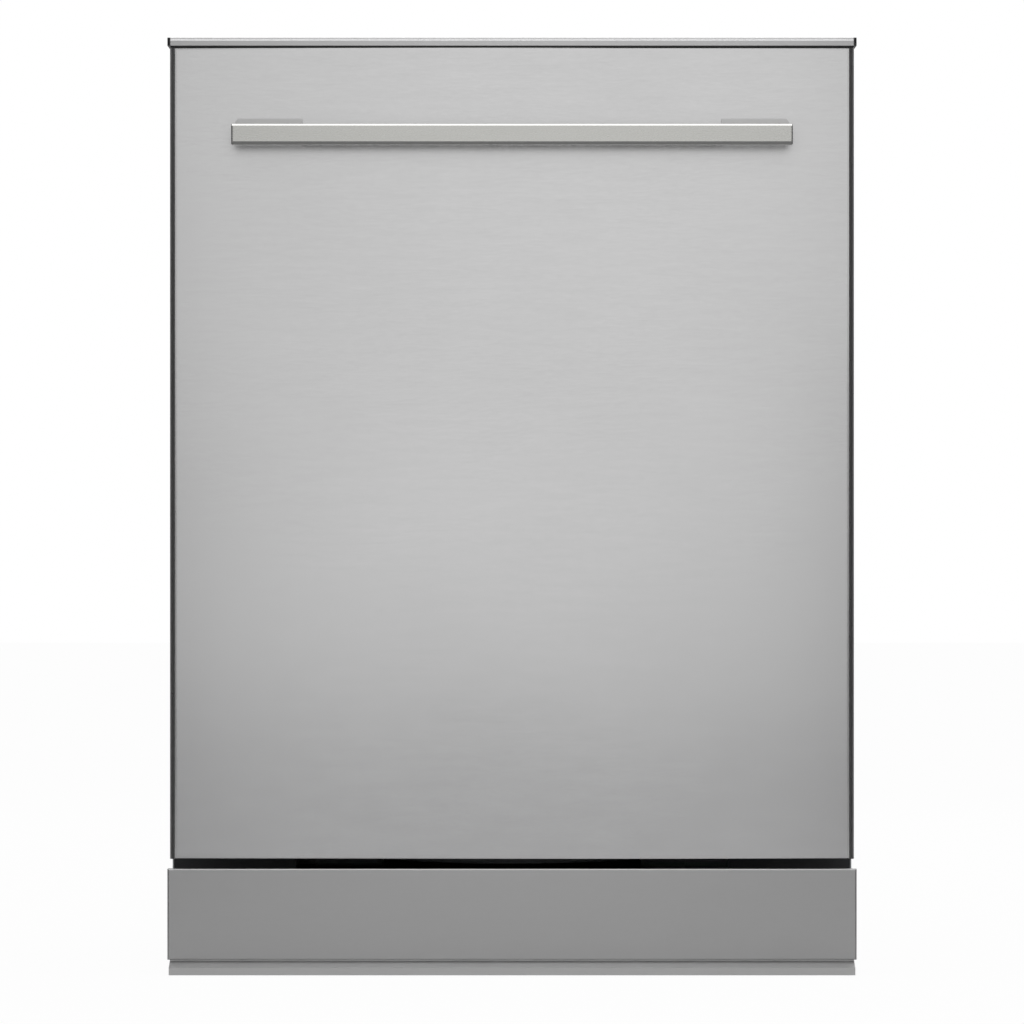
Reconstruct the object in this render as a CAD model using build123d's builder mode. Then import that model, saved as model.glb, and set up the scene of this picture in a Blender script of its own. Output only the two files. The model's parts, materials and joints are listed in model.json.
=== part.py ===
"""Built-under dishwasher, 600 mm wide, with a hidden-control door.

Millimetres, +Z up, front towards -Y. The origin is on the floor under the middle of the machine,
counting the handle in its depth.
"""
from build123d import *
import os

os.makedirs("parts", exist_ok=True)

# ---- driving dimensions -------------------------------------------------------------------
unit_width = 600.0
unit_height = 815.0
body_depth = 572.0  # door face to the rearmost connector
handle_reach = 48.0  # door face to the front of the handle
sheet = 1.2  # steel sheet
plastic = 3.0  # moulded walls
seat_gap = 0.3  # air between a moving piece and what it rests near
slip = 0.05  # radial clearance of a running fit

# door
door_gap = 2.0  # bay side to door side
door_thickness = 55.0
door_bottom = 100.0
cap_height = 7.0
cap_gap = 1.5
skin_depth = 14.0  # depth of the skin's folded sides
edge_bevel = 4.4  # width of the two bevels down each side of the skin
hinge_back = 33.0  # door face to hinge axis
hinge_rise = 35.0  # door bottom to hinge axis
liner_inset = 15.5  # door side to liner side
field_rise = 5.0

# handle
bar_length = 485.0
bar_height = 18.0
bar_thick = 13.0
bar_drop = 95.5  # top of the machine to the underside of the bar
bracket_length = 60.0
bracket_flare = 6.7  # how far the bracket stands above the bar
plate_thick = 6.0  # the bracket's plate against the door

# cabinet
side_inset = 1.0
tub_inset = 30.0  # bay side to the tub's inside wall
tub_floor = 161.2  # inside floor height
tub_drop = 25.0  # top of the machine to the tub's ceiling
tub_setback = 17.0  # back of the door to the tub's front edge
tub_clear = 25.2  # tub's rear wall to the rearmost connector
tub_corner = 14.0
lip = 8.0  # how far the front frame stands into the mouth
frame_depth = 14.0
base_bottom = 24.0

# toe kick
kick_top = 91.4
kick_bottom = 12.3
kick_return = 9.0
strip_reach = 18.0
strip_hem = 6.0

# wash system
sump_y, sump_radius = 10.0, 120.0
arm_y, arm_reach, arm_z = 48.0, 216.0, 187.0
spindle_radius = 12.0
cup_y, cup_radius = -38.0, 38.0

# racks
rack_inset = 25.0  # tub's inside wall to the rack's side
rack_setback, rack_clear = 12.0, 26.8  # tub front to rack front, rack rear to tub rear
wire = 4.0
rail_drop = 290.0  # tub's ceiling to the middle of the rails
rail_half = 12.0  # half the height of the outer rail
floor_drop, rim_rise = 70.0, 72.0  # rails to the upper rack's floor and rim
lower_floor, lower_rim = 212.0, 380.0
wheel_radius, wheel_width, axle_radius = 17.0, 9.0, 3.0

# ---- places worked out from them ----------------------------------------------------------
SIDES = (-1, 1)
half = unit_width / 2
door_half = half - door_gap
door_face = handle_reach - (handle_reach + body_depth) / 2
rear_plane = door_face + body_depth
handle_front = door_face - handle_reach
door_back = door_face + door_thickness
cap_bottom = unit_height - cap_height
skin_top = cap_bottom - cap_gap
bar_bottom = unit_height - bar_drop
hinge_y = door_face + hinge_back
hinge_z = door_bottom + hinge_rise
liner_half = door_half - liner_inset
tub_half = half - tub_inset
tub_top = unit_height - tub_drop
tub_front = door_back + tub_setback
tub_rear = rear_plane - tub_clear
mouth_half = tub_half - lip
mouth_top = tub_top - lip
frame_front = tub_front - frame_depth
rack_half = tub_half - rack_inset
rack_front, rack_rear = tub_front + rack_setback, tub_rear - rack_clear
rail_z = tub_top - rail_drop
rail_front, rail_rear = rack_front + 8, rack_rear + 10
upper_floor, upper_rim = rail_z - floor_drop, rail_z + rim_rise


# ---- helpers ------------------------------------------------------------------------------
def block(x, y, z, mode=Mode.ADD):
    """A block given by its low and high limits along each axis."""
    with Locations(((x[0] + x[1]) / 2, (y[0] + y[1]) / 2, (z[0] + z[1]) / 2)):
        Box(x[1] - x[0], y[1] - y[0], z[1] - z[0], mode=mode)


def rod(start, direction, length, radius, mode=Mode.ADD):
    """A round bar from start along direction."""
    with Locations(Plane(origin=start, z_dir=direction)):
        Cylinder(radius, length, align=(Align.CENTER, Align.CENTER, Align.MIN), mode=mode)


def mirrored(low, high, side):
    """Limits along X on the left (side -1) or right (side 1)."""
    return (side * high, side * low) if side < 0 else (low, high)


def finish(part, name):
    """Label a piece and write it."""
    part.part.label = name
    export_step(part.part, f"parts/{name}.step")


# ---- door skin and what is fastened to it -------------------------------------------------
bar_centre = bar_bottom + bar_height / 2
bracket_inner = bar_length / 2 - bracket_length
bracket_top = bar_bottom + bar_height + bracket_flare
screw_radius = 2.5
bracket_screw_x = (bracket_inner + 14.0, bar_length / 2 - 12.0)

with BuildPart() as door_outer_panel:
    with BuildSketch(Plane.XY.offset(door_bottom)):
        with BuildLine():
            Polyline(
                (-door_half, door_face + skin_depth),
                (-door_half, door_face + 6.0),
                (-door_half + 1.9, door_face + 2.2),
                (-door_half + edge_bevel, door_face),
                (door_half - edge_bevel, door_face),
                (door_half - 1.9, door_face + 2.2),
                (door_half, door_face + 6.0),
                (door_half, door_face + skin_depth),
                close=True,
            )
        make_face()
    extrude(amount=skin_top - door_bottom)
    offset(amount=-sheet, openings=door_outer_panel.faces().sort_by(Axis.Y)[-1])
    for side in SIDES:
        for screw_x in bracket_screw_x:
            rod((side * screw_x, door_face - 1, bar_centre), (0, 1, 0), 4, screw_radius, Mode.SUBTRACT)
finish(door_outer_panel, "door_outer_panel")

with BuildPart() as handle_bar:
    block((-bar_length / 2, bar_length / 2), (handle_front, handle_front + bar_thick),
          (bar_bottom, bar_bottom + bar_height))
    chamfer(handle_bar.faces().sort_by(Axis.Y)[0].edges(), 1.6)
finish(handle_bar, "handle_bar")

with BuildPart() as handle_brackets:
    for side in SIDES:
        with BuildSketch(Plane.YZ.offset(side * bracket_inner)):
            with BuildLine():
                Polyline(
                    (handle_front + bar_thick, bar_bottom + 2),
                    (door_face, bar_bottom + 6),
                    (door_face, bracket_top),
                    (door_face - plate_thick, bracket_top),
                    (door_face - plate_thick, bracket_top - 8),
                    (handle_front + bar_thick, bar_bottom + bar_height - 2.5),
                    close=True,
                )
            make_face()
        extrude(amount=side * (bracket_length - 1.5))
    plate_corners = handle_brackets.edges().filter_by(Axis.Y).group_by(Axis.Z)[-1]
    chamfer([e for e in plate_corners if abs(e.center().X) > bar_length / 2 - 5], 3.0)
    for side in SIDES:
        for screw_x in bracket_screw_x:
            rod((side * screw_x, door_face, bar_centre), (0, -1, 0), 14, screw_radius, Mode.SUBTRACT)
finish(handle_brackets, "handle_brackets")

with BuildPart() as door_screws:
    for side in SIDES:
        for screw_x in bracket_screw_x:
            rod((side * screw_x, door_face + sheet, bar_centre), (0, -1, 0), 12, screw_radius - slip)
            rod((side * screw_x, door_face + sheet, bar_centre), (0, 1, 0), 2.6, 4.6)
finish(door_screws, "door_screws")

# ---- door liner, hinge arms, insulation ---------------------------------------------------
liner_front = door_face + 22.0
liner_bottom = hinge_z + 4.0
panel_bottom = tub_top - 6.0  # underside of the control panel body
dispenser_x, dispenser_z = (30.0, 190.0), (380.0, 492.0)
field_side, field_margin, field_corner = 54.5, 36.0, 28.0  # border round the liner's raised field


def liner_form(inset, mode):
    """The pressed liner's outer form, or the hollow inside it when inset by the sheet."""
    block((-liner_half + inset, liner_half - inset), (liner_front - (1 if inset else 0), door_back - inset),
          (liner_bottom + inset, panel_bottom - 2 - inset), mode)
    with BuildSketch(Plane.XZ.offset(-(door_back - inset))) as field:
        with Locations((0, (liner_bottom + panel_bottom) / 2)):
            RectangleRounded(2 * (liner_half - field_side - inset),
                             panel_bottom - liner_bottom - 2 * (field_margin + inset), field_corner - inset)
    extrude(field.sketch, amount=-field_rise, taper=30, mode=mode)


with BuildPart() as door_inner_liner:
    liner_form(0, Mode.ADD)
    liner_form(sheet, Mode.SUBTRACT)
    block((-liner_half, liner_half), (door_back - sheet, door_back), (panel_bottom - 3, cap_bottom - 5))
    block(dispenser_x, (door_back - 4, door_back + field_rise + 1), dispenser_z, Mode.SUBTRACT)
finish(door_inner_liner, "door_inner_liner")

arm_thick = 3.0
with BuildPart() as hinge_arms:
    for side in SIDES:
        with BuildSketch(Plane.YZ.offset(side * liner_half)):
            with Locations((hinge_y, hinge_z)):
                Circle(12)
            with Locations((hinge_y, hinge_z + 60)):
                Rectangle(18, 120)
            with Locations((hinge_y, hinge_z)):
                Circle(4 + slip, mode=Mode.SUBTRACT)
        extrude(amount=side * arm_thick)
finish(hinge_arms, "hinge_arms")

with BuildPart() as door_insulation:
    block((-liner_half + 10, liner_half - 10), (door_face + sheet, liner_front - seat_gap),
          (door_bottom + 12, bar_bottom - 20))
finish(door_insulation, "door_insulation")

# ---- control panel, cap, buttons ----------------------------------------------------------
cap_front = door_face - 1.5
cap_back = door_back - 2.0
cap_half = half - 2.5
cap_step, cap_lean = 1.3, 0.4  # the bead along the cap's top edge, and how far its face leans back
button_y = (-242.0, -232.0)
buttons = {"power_button": -120.0, "program_button": -60.0, "start_button": 150.0}
button_width, button_travel = 14.0, 0.8
window_x = (0.0, 84.0)
button_top = unit_height - 0.1
pocket_floor = cap_bottom + 1.0

with BuildPart() as control_cap:
    with BuildSketch(Plane.YZ.offset(-cap_half)):
        with BuildLine():
            Polyline(
                (cap_front + cap_lean, cap_bottom),
                (cap_front, unit_height - 2 * cap_step),
                (cap_front + cap_step, unit_height - cap_step),
                (cap_front + cap_step, unit_height - 0.4),
                (cap_front + cap_step + 0.4, unit_height),
                (cap_back, unit_height),
                (cap_back, cap_bottom),
                (cap_back - sheet, cap_bottom),
                (cap_back - sheet, unit_height - sheet),
                (cap_front + cap_step + sheet, unit_height - sheet),
                (cap_front + cap_step + sheet, unit_height - cap_step - 0.5),
                (cap_front + sheet, unit_height - 2 * cap_step - 0.5),
                (cap_front + cap_lean + sheet, cap_bottom),
                close=True,
            )
        make_face()
    extrude(amount=2 * cap_half)
    for x in buttons.values():
        block((x - button_width / 2 - 0.3, x + button_width / 2 + 0.3), (button_y[0] - 0.3, button_y[1] + 0.3),
              (cap_bottom + 3, unit_height + 1), Mode.SUBTRACT)
    block(window_x, button_y, (cap_bottom + 3, unit_height + 1), Mode.SUBTRACT)
finish(control_cap, "control_cap")

filler_top = unit_height - sheet - 0.2
with BuildPart() as control_panel:
    block((-cap_half + 1.5, cap_half - 1.5), (cap_front + cap_step + sheet + 0.4, cap_back - sheet - 0.2),
          (skin_top + 0.2, filler_top))
    block((-liner_half + 2.5, liner_half - 2.5), (door_face + skin_depth + 0.6, door_back - sheet - 0.3),
          (panel_bottom, skin_top + 0.3))
    for side in SIDES:
        block(mirrored(cap_half - 2, cap_half, side), (cap_front + 4, cap_back - 4), (skin_top + 0.2, filler_top - 1))
        block(mirrored(cap_half, half, side), (cap_front, cap_back), (cap_bottom, unit_height))
    cheeks = control_panel.edges().filter_by(Axis.Z).filter_by(lambda e: abs(e.center().X) > half - 0.1)
    fillet(cheeks.group_by(Axis.Y)[0], 1.6)
    for x in buttons.values():
        block((x - button_width / 2 - 0.3, x + button_width / 2 + 0.3), (button_y[0] - 0.3, button_y[1] + 0.3),
              (pocket_floor, unit_height + 1), Mode.SUBTRACT)
    block(window_x, button_y, (unit_height - 3, unit_height + 1), Mode.SUBTRACT)
finish(control_panel, "control_panel")

with BuildPart() as display_window:
    block((window_x[0] + 0.1, window_x[1] - 0.1), (button_y[0] + 0.1, button_y[1] - 0.1),
          (unit_height - 3, unit_height - 0.1))
finish(display_window, "display_window")

for name, x in buttons.items():
    with BuildPart() as button:
        block((x - button_width / 2, x + button_width / 2), button_y,
              (pocket_floor + button_travel + 0.2, button_top))
        fillet(button.faces().sort_by(Axis.Z)[-1].edges(), 0.6)
    finish(button, name)

# ---- detergent dispenser ------------------------------------------------------------------
pocket_x, pocket_z = (44.0, 104.0), (400.0, 472.0)
lid_travel = 62.0
lid_y = (door_back + field_rise + 1.5, door_back + field_rise + 4.5)
rinse_x, rinse_z = 164.0, 436.0
with BuildPart() as dispenser_housing:
    block((dispenser_x[0] + 0.3, dispenser_x[1] - 0.3), (door_back - 27, door_back + field_rise),
          (dispenser_z[0] + 0.3, dispenser_z[1] - 0.3))
    block((dispenser_x[0] - 8, dispenser_x[1] + 8), (door_back + field_rise, door_back + field_rise + 1.2),
          (dispenser_z[0] - 8, dispenser_z[1] + 8))
    block(pocket_x, (door_back - 24, door_back + 20), pocket_z, Mode.SUBTRACT)
    rod((rinse_x, door_back - 10, rinse_z), (0, 1, 0), 30, 14 + seat_gap, Mode.SUBTRACT)
    for z in (pocket_z[0] - 7, pocket_z[1] + 4):
        block((pocket_x[0] - 8, pocket_x[1] + 8), (door_back + field_rise + 1.2, lid_y[1] + 1), (z, z + 3))
finish(dispenser_housing, "dispenser_housing")

with BuildPart() as dispenser_lid:
    block((pocket_x[0] - 3, pocket_x[1] + 3), lid_y, (pocket_z[0] - 3.6, pocket_z[1] + 3.6))
    block((pocket_x[0] + 4, pocket_x[0] + 7), (lid_y[1], lid_y[1] + 3), (pocket_z[0] + 15, pocket_z[1] - 15))
finish(dispenser_lid, "dispenser_lid")

with BuildPart() as rinse_aid_cap:
    rod((rinse_x, door_back - 10 + seat_gap, rinse_z), (0, 1, 0), 18, 14)
    block((rinse_x - 11, rinse_x + 11), (door_back + 8, door_back + 13),
          (rinse_z - 2.5, rinse_z + 2.5))
finish(rinse_aid_cap, "rinse_aid_cap")

# ---- tub, front frame, gasket -------------------------------------------------------------
frame_half = half - 3.0
frame_top = unit_height - 9.0
frame_bottom = tub_floor + 3.0


def tub_form(inset, front, mode):
    """The tub's outer form, or its inside when inset by the sheet, as a rounded box."""
    wide = tub_half + sheet - inset
    low, high = tub_floor - sheet + inset, tub_top + sheet - inset
    with BuildSketch(Plane.XZ.offset(-front)) as outline:
        with Locations((0, (low + high) / 2)):
            RectangleRounded(2 * wide, high - low, tub_corner - inset)
    extrude(outline.sketch, amount=-(tub_rear + sheet - inset - front), mode=mode)


with BuildPart() as tub_shell:
    tub_form(0, tub_front, Mode.ADD)
    block((-frame_half, frame_half), (tub_front, tub_front + sheet), (tub_floor - sheet, frame_top))
    tub_form(sheet, tub_front - 1, Mode.SUBTRACT)
    rod((0, sump_y, tub_floor - 3), (0, 0, 1), 5, sump_radius - 4, Mode.SUBTRACT)
finish(tub_shell, "tub_shell")

with BuildPart() as tub_front_frame:
    with BuildSketch(Plane.XZ.offset(-frame_front)):
        with Locations((0, (frame_bottom + frame_top) / 2)):
            Rectangle(2 * frame_half, frame_top - frame_bottom)
        with Locations((0, (frame_bottom + mouth_top) / 2 - 20)):
            Rectangle(2 * mouth_half, mouth_top - frame_bottom + 40, mode=Mode.SUBTRACT)
    extrude(amount=-frame_depth)
    offset(amount=-sheet, openings=tub_front_frame.faces().sort_by(Axis.Y)[-1])
    block((-16, 16), (frame_front - 1.5, frame_front), (frame_top - 6, frame_top))
finish(tub_front_frame, "tub_front_frame")

gasket_inner, gasket_width, gasket_top = mouth_half + 5, 12.0, mouth_top + 4
with BuildPart() as door_gasket:
    with BuildSketch(Plane.XZ.offset(-(door_back + seat_gap))):
        with Locations((0, (frame_bottom + gasket_top + gasket_width) / 2)):
            Rectangle(2 * (gasket_inner + gasket_width), gasket_top + gasket_width - frame_bottom)
        with Locations((0, (frame_bottom + gasket_top) / 2 - 20)):
            Rectangle(2 * gasket_inner, gasket_top - frame_bottom + 40, mode=Mode.SUBTRACT)
    extrude(amount=-(frame_front - door_back - seat_gap))
    block((-mouth_half + 12, mouth_half - 12), (tub_front - 5, tub_front), (tub_floor - 9, tub_floor - sheet + 0.6))
    block((-mouth_half + 12, mouth_half - 12), (tub_front, tub_front + 6), (tub_floor - 9, tub_floor - sheet))
finish(door_gasket, "door_gasket")

mat = 4.0
mat_front = tub_front + 12.0
with BuildPart() as sound_mat:
    with BuildSketch(Plane.XZ.offset(-mat_front)):
        with Locations((0, (tub_floor + tub_top) / 2 + 40)):
            RectangleRounded(2 * (tub_half + sheet + mat), tub_top - tub_floor + 2 * (sheet + mat) - 80,
                             tub_corner + mat)
    extrude(amount=-(tub_rear + sheet + mat - mat_front))
    tub_form(0, mat_front - 1, Mode.SUBTRACT)
    block((-half, half), (mat_front - 1, rear_plane), (tub_floor - 20, tub_floor + 95), Mode.SUBTRACT)
finish(sound_mat, "sound_mat")

panel_front, panel_rear = tub_front + sheet, tub_rear + sheet + mat + 2
for side, name in zip(SIDES, ("left_side_panel", "right_side_panel")):
    outer = half - side_inset
    with BuildPart() as side_panel:
        block(mirrored(outer - sheet, outer, side), (panel_front, panel_rear), (base_bottom + 6, frame_top))
        block(mirrored(outer - 16, outer, side), (panel_rear - sheet, panel_rear), (base_bottom + 6, frame_top))
        block(mirrored(outer - 16, outer, side), (panel_front, panel_rear), (frame_top - sheet, frame_top))
        for z in (330.0, 600.0):
            with BuildSketch(Plane.YZ.offset(side * outer)):
                with Locations(((panel_front + panel_rear) / 2, z)):
                    RectangleRounded(panel_rear - panel_front - 90, 60, 20)
            extrude(amount=-side * 5, taper=30)
            with BuildSketch(Plane.YZ.offset(side * outer)):
                with Locations(((panel_front + panel_rear) / 2, z)):
                    RectangleRounded(panel_rear - panel_front - 90 - 2 * sheet, 60 - 2 * sheet, 20 - sheet)
            extrude(amount=-side * (5 - sheet), taper=30, mode=Mode.SUBTRACT)
    finish(side_panel, name)

tab_x, tab_hole, tab_slot = half - 80.0, 2.25, 40.0
with BuildPart() as worktop_brackets:
    for side in SIDES:
        block((side * tab_x - 22, side * tab_x + 22), (frame_front + 0.4, tub_front + 18), (frame_top, frame_top + 2))
        block((side * tab_x - 22, side * tab_x + 22), (tub_front + 16, tub_front + 18), (frame_top, unit_height - 1))
        block((side * tab_x - 22, side * tab_x + 22), (tub_front + 16, tub_front + 56),
              (unit_height - 3, unit_height - 1))
        rod((side * tab_x, tub_front + tab_slot, frame_top), (0, 0, 1), 12, tab_hole, Mode.SUBTRACT)
finish(worktop_brackets, "worktop_brackets")

# ---- base -----------------------------------------------------------------------------------
base_half = half - side_inset - sheet - 0.2
base_front, base_rear = tub_front + sheet + 0.2, panel_rear - 1.5
base_top = tub_floor - sheet
leg_x, leg_y = half - 45.0, (base_front + 45.0, base_rear - 45.0)
leg_radius, socket_radius = 5.0, 15.0
inlet_x, inlet_z, drain_x, drain_z = -200.0, 90.0, -140.0, 104.0
gland_x = 190.0

bracket_face = liner_half + arm_thick + 1.0
spring_x, spring_z = base_half - plastic - 14, 62.0
spring_front, spring_length, spring_end = -120.0, 150.0, 60.0

with BuildPart() as base_tray:
    block((-base_half, base_half), (base_front, base_rear), (base_bottom, base_top))
    block((-base_half + plastic, base_half - plastic), (base_front + plastic, base_rear - plastic),
          (base_bottom + plastic, base_top + 1), Mode.SUBTRACT)
    block((-tub_half - 8, tub_half + 8), (base_front - 1, base_front + plastic + 1), (base_top - 12, base_top + 1),
          Mode.SUBTRACT)
    block((-190, 190), (base_front - 1, base_front + plastic + 1), (base_bottom + 22, base_top - 40), Mode.SUBTRACT)
    for side in SIDES:
        block(mirrored(bracket_face - 2, bracket_face + arm_thick + 1, side),
              (base_front - 1, base_front + plastic + 1), (hinge_z - 14, base_top + 1), Mode.SUBTRACT)
        block((side * spring_x - 3, side * spring_x + 3), (spring_end, spring_end + 6),
              (base_bottom, spring_z + 8))
        rod((side * spring_x, spring_end - 2, spring_z), (0, 1, 0), 10, 1.5, Mode.SUBTRACT)
    for x in (-leg_x, leg_x):
        for y in leg_y:
            rod((x, y, base_bottom), (0, 0, 1), 60, socket_radius)
            rod((x, y, base_bottom - 1), (0, 0, 1), 55, leg_radius + slip, Mode.SUBTRACT)
    for x in (-tub_half, tub_half):
        block((x - 10, x + 10), (base_front + 20, base_rear - 20), (base_top - 22, base_top))
    for side in SIDES:
        block(mirrored(tub_half - 10, base_half, side), (-20, 20), (base_top - 22, base_top))
    for x, z, radius in ((inlet_x, inlet_z, 15), (drain_x, drain_z, 13), (gland_x, inlet_z, 13)):
        rod((x, base_rear - 5, z), (0, 1, 0), 10, radius, Mode.SUBTRACT)
finish(base_tray, "base_tray")

for index, (x, y) in enumerate([(x, y) for y in leg_y for x in (-leg_x, leg_x)]):
    with BuildPart() as leg:
        rod((x, y, 0), (0, 0, 1), 7, 18)
        rod((x, y, 7), (0, 0, 1), 5, 10)
        rod((x, y, 12), (0, 0, 1), 58, leg_radius)
        chamfer(leg.faces().sort_by(Axis.Z)[0].edges(), 1.5)
        block((x - 30, x - 15), (y - 3, y + 3), (2, 5), Mode.SUBTRACT)
    finish(leg, f"leg_{('front_left', 'front_right', 'rear_left', 'rear_right')[index]}")

with BuildPart() as hinge_brackets:
    for side in SIDES:
        with BuildSketch(Plane.YZ.offset(side * bracket_face)):
            with Locations((hinge_y, hinge_z)):
                Circle(12)
            with Locations(((hinge_y - 60) / 2, hinge_z)):
                Rectangle(-60 - hinge_y, 24)
            with Locations((hinge_y, hinge_z)):
                Circle(4, mode=Mode.SUBTRACT)
        extrude(amount=side * arm_thick)
        block(mirrored(bracket_face + arm_thick, base_half - plastic, side), (base_front + plastic, -60),
              (hinge_z - 12, hinge_z - 8))
finish(hinge_brackets, "hinge_brackets")

with BuildPart() as hinge_pins:
    for side in SIDES:
        rod((side * (liner_half + seat_gap), hinge_y, hinge_z), (side, 0, 0),
            bracket_face + arm_thick - liner_half - seat_gap, 4)
        rod((side * (bracket_face + arm_thick), hinge_y, hinge_z), (side, 0, 0), 2.5, 6.5)
finish(hinge_pins, "hinge_pins")

with BuildPart() as door_springs:
    for side in SIDES:
        coil_x, coil_rear = side * spring_x, spring_front + spring_length
        rod((coil_x, spring_front, spring_z), (0, 1, 0), spring_length, 8)
        rod((coil_x, spring_front, spring_z), (0, 1, 0), spring_length, 6, Mode.SUBTRACT)
        for y in (spring_front, coil_rear - 2):
            rod((coil_x, y, spring_z), (0, 1, 0), 2, 6.5)
        rod((coil_x, coil_rear, spring_z), (0, 1, 0), spring_end + 6 - coil_rear, 1.5 - slip)
        rod((coil_x, spring_front, spring_z), (0, -1, 0), 50, 1.5)
finish(door_springs, "door_springs")

# ---- toe kick -------------------------------------------------------------------------------
with BuildPart() as toe_kick_panel:
    block((-half, half), (door_face, door_face + kick_return), (kick_bottom, kick_top))
    chamfer(toe_kick_panel.faces().sort_by(Axis.Y)[0].edges(), 0.9)
    open_faces = [toe_kick_panel.faces().sort_by(Axis.Y)[-1], toe_kick_panel.faces().sort_by(Axis.Z)[0]]
    offset(amount=-sheet, openings=open_faces)
finish(toe_kick_panel, "toe_kick_panel")

strip_half = door_half
strip_back = door_face + 2 * sheet + 2 * seat_gap
stay_front = strip_back + sheet
with BuildPart() as toe_kick_floor_strip:
    with BuildSketch(Plane.YZ.offset(-strip_half)):
        with BuildLine():
            Polyline(
                (strip_back, kick_bottom + 30),
                (strip_back, kick_bottom - 1.3),
                (door_face - strip_reach, strip_hem + 0.5),
                (door_face - strip_reach, 0),
                (door_face - strip_reach + sheet, 0),
                (door_face - strip_reach + sheet, strip_hem - 1.0),
                (strip_back + sheet, kick_bottom - 1.3 - sheet),
                (strip_back + sheet, kick_bottom + 30),
                close=True,
            )
        make_face()
    extrude(amount=2 * strip_half)
finish(toe_kick_floor_strip, "toe_kick_floor_strip")

stay_x = (-half + 70.0, half - 70.0)
with BuildPart() as toe_kick_stays:
    for x in stay_x:
        block((x - 15, x + 15), (stay_front, base_front), (46, 50))
        block((x - 15, x + 15), (stay_front, stay_front + 3), (30, 80))
        block((x - 15, x + 15), (base_front - 3, base_front), (30, 80))
finish(toe_kick_stays, "toe_kick_stays")

with BuildPart() as cabinet_screws:
    for x in stay_x:
        rod((x, base_front - 3, 66), (0, -1, 0), 3, 4.5)
    for side in SIDES:
        for z in (120.0, 450.0, frame_top - 26):
            rod((side * (half - side_inset), panel_rear - 60, z), (side, 0, 0), side_inset - 0.1, 4)
finish(cabinet_screws, "cabinet_screws")

# ---- wash system ----------------------------------------------------------------------------
tower_radius = 20.0
sump_floor = 88.0
pump_x, pump_y, drain_y = 118.0, 60.0, 62.0
with BuildPart() as sump:
    rod((0, sump_y, sump_floor), (0, 0, 1), tub_floor - sheet - sump_floor, sump_radius - 8)
    rod((0, sump_y, tub_floor), (0, 0, 1), 2, sump_radius)
    rod((0, sump_y, tub_floor - sheet - 1), (0, 0, 1), sheet + 2, sump_radius - 4.3)
    rod((0, sump_y, sump_floor + plastic), (0, 0, 1), 120, sump_radius - 12, Mode.SUBTRACT)
    for side, y in ((1, pump_y), (-1, drain_y)):
        rod((side * (sump_radius - 20), y, drain_z), (side, 0, 0), pump_x - sump_radius + 20, 14)
    rod((0, arm_y, sump_floor + 1), (0, 0, 1), arm_z - seat_gap - sump_floor - 1, tower_radius)
    rod((0, arm_y, arm_z - 2), (0, 0, 1), 22, spindle_radius)
finish(sump, "sump")

with BuildPart() as filter_plate:
    rod((0, sump_y, tub_floor + 2), (0, 0, 1), 2.4, sump_radius - 3)
    rod((0, arm_y, tub_floor), (0, 0, 1), 10, tower_radius + 0.2, Mode.SUBTRACT)
    rod((0, cup_y, tub_floor), (0, 0, 1), 10, cup_radius + 0.5, Mode.SUBTRACT)
finish(filter_plate, "filter_plate")

with BuildPart() as filter_cup:
    rod((0, cup_y, sump_floor + plastic + seat_gap), (0, 0, 1), 84, cup_radius)
    rod((0, cup_y, tub_floor + 4.8), (0, 0, 1), 2, cup_radius + 6)
    rod((0, cup_y, tub_floor + 4), (0, 0, 1), 1, cup_radius)
    rod((0, cup_y, sump_floor + plastic + 5), (0, 0, 1), 100, cup_radius - 3, Mode.SUBTRACT)
    block((-cup_radius, cup_radius), (cup_y - 3, cup_y + 3), (tub_floor, tub_floor + 16))
finish(filter_cup, "filter_cup")


def spray_arm(bearing_top, centre_y, reach, width, thick, bore):
    """A flat hollow-looking spray arm with a round hub, turning about a vertical axis."""
    with BuildSketch(Plane.XY.offset(bearing_top)) as outline:
        with Locations((0, centre_y)):
            SlotOverall(2 * reach, width, rotation=24)
            Circle(width * 0.72)
            Circle(bore, mode=Mode.SUBTRACT)
    extrude(outline.sketch, amount=thick)


with BuildPart() as lower_spray_arm:
    spray_arm(arm_z, arm_y, arm_reach, 38, 13, spindle_radius + slip)
    fillet(lower_spray_arm.faces().sort_by(Axis.Z)[-1].outer_wire().edges(), 5)
finish(lower_spray_arm, "lower_spray_arm")

duct_x, duct_wide = -20.0, 40.0
duct_front = tub_rear - 16
upper_arm_z = upper_floor - 32
feed_z = upper_arm_z + 18
ceiling_stub = 26.0
with BuildPart() as water_feed_duct:
    block((duct_x, duct_x + duct_wide), (duct_front, tub_rear), (tub_floor, tub_top))
    block((duct_x, duct_x + duct_wide), (arm_y - 20, tub_rear), (tub_top - 12, tub_top))
    rod((0, arm_y, tub_top - ceiling_stub), (0, 0, 1), ceiling_stub, 10)
    rod((0, arm_y, tub_top - ceiling_stub), (0, 0, -1), 2, 14)
    rod((0, duct_front - 6, feed_z), (0, 1, 0), 8, 14)
finish(water_feed_duct, "water_feed_duct")

with BuildPart() as ceiling_spray_arm:
    spray_arm(tub_top - ceiling_stub + seat_gap, arm_y, 90, 26, 8, 10 + slip)
finish(ceiling_spray_arm, "ceiling_spray_arm")

with BuildPart() as circulation_pump:
    rod((pump_x, pump_y, drain_z), (1, 0, 0), 44, 30)
    rod((pump_x + 40, pump_y, drain_z), (1, 0, 0), 84, 38)
    rod((pump_x + 22, pump_y, drain_z), (0, 1, 0), 60, 11)
finish(circulation_pump, "circulation_pump")

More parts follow.
